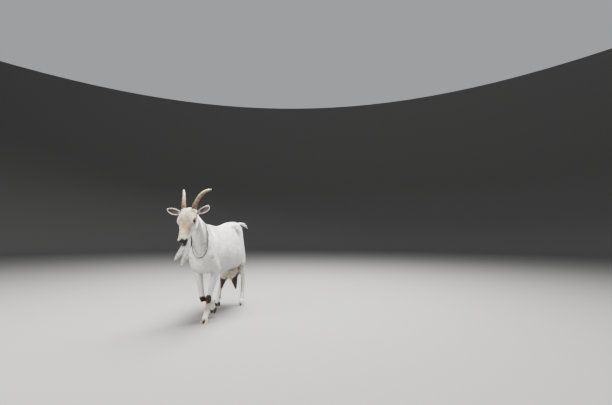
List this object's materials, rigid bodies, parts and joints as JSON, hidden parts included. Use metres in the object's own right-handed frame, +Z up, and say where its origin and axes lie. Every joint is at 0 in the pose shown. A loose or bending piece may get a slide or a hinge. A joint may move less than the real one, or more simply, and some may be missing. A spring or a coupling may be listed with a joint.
{
  "type": "goat",
  "caption": "Life-size horned and bearded dairy doe with collar and udder, in a slow walk with the right forefoot lifted.",
  "frame": {"origin": "on the floor, under the middle of the whole", "axes": "+Z up, -Y the way the goat faces, +X its left side"},
  "size_m": [0.3344, 1.1818, 0.98],
  "materials": {
    "coat": "short white hair, cream on the face",
    "udder_skin": "thin bare skin with dark teats",
    "horn": "ridged horn, satin",
    "hoof": "worn hoof horn",
    "eye": "wet, clear",
    "collar": "worn dark strap"
  },
  "bodies": {
    "root": {"head": "coat", "neck": "coat", "trunk": "coat", "tail": "coat", "foreleg_left": "coat", "foreleg_right": "coat", "hindleg_left": "coat", "hindleg_right": "coat", "ear_left": "coat", "ear_right": "coat", "beard": "coat", "udder": "udder_skin", "horn_left": "horn", "horn_right": "horn", "claw_fore_left_left": "hoof", "claw_fore_left_right": "hoof", "claw_fore_right_left": "hoof", "claw_fore_right_right": "hoof", "claw_hind_left_left": "hoof", "claw_hind_left_right": "hoof", "claw_hind_right_left": "hoof", "claw_hind_right_right": "hoof", "dewclaw_fore_left_left": "hoof", "dewclaw_fore_left_right": "hoof", "dewclaw_fore_right_left": "hoof", "dewclaw_fore_right_right": "hoof", "dewclaw_hind_left_left": "hoof", "dewclaw_hind_left_right": "hoof", "dewclaw_hind_right_left": "hoof", "dewclaw_hind_right_right": "hoof", "eye_left": "eye", "eye_right": "eye", "collar": "collar"}
  },
  "joints": []
}
